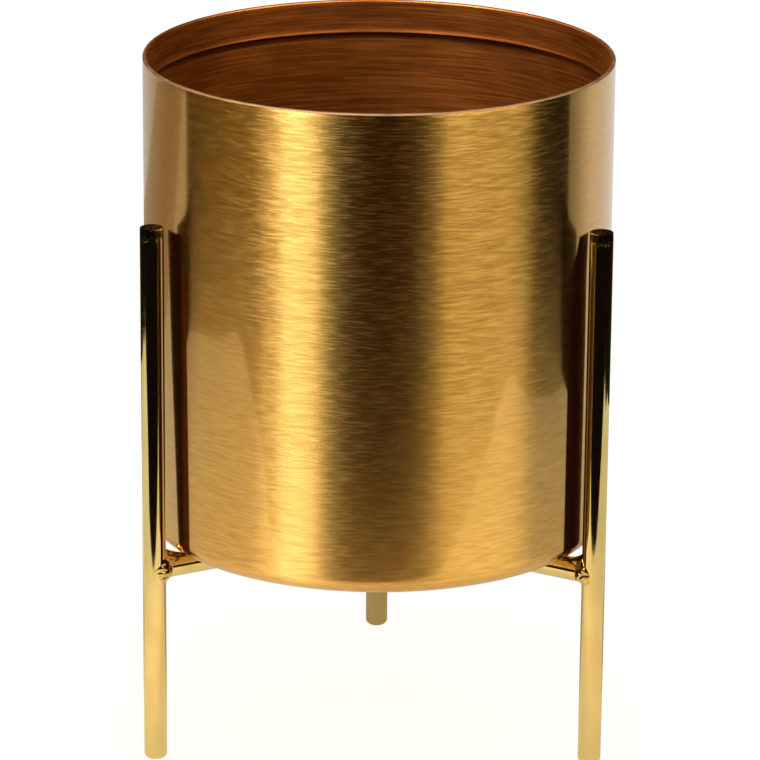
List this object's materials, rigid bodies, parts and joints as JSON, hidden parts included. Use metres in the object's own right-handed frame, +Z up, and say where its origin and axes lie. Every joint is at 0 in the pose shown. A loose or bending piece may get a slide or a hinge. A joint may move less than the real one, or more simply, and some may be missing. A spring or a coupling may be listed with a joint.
{
  "type": "footed planter",
  "caption": "Tabletop planter: a round brushed-brass sheet pot with a hemmed rim, standing loose in a welded tripod of polished rod legs and spokes.",
  "frame": {"origin": "on the floor, on the pot's axis, midway between the three feet", "axes": "+Z up along the pot's axis; +Y towards the rear leg; +X to the right seen from the front"},
  "size_m": [0.12, 0.1278, 0.18],
  "materials": {
    "brushed_brass": "brushed around the pot, clear lacquered",
    "polished_rod": "polished, gold plated",
    "weld_bead": "as welded, gold plated over"
  },
  "bodies": {
    "stand": {"leg_rear": "polished_rod", "leg_left": "polished_rod", "leg_right": "polished_rod", "spoke_rear": "polished_rod", "spoke_left": "polished_rod", "spoke_right": "polished_rod", "weld_rear": "weld_bead", "weld_left": "weld_bead", "weld_right": "weld_bead", "hub_weld": "weld_bead"},
    "pot": {"pot_shell": "brushed_brass"}
  },
  "joints": [
    {"name": "pot_lift", "type": "slide", "parent": "stand", "child": "pot", "axis": [0, 0, 1], "range_m": [0, 0.095]}
  ]
}
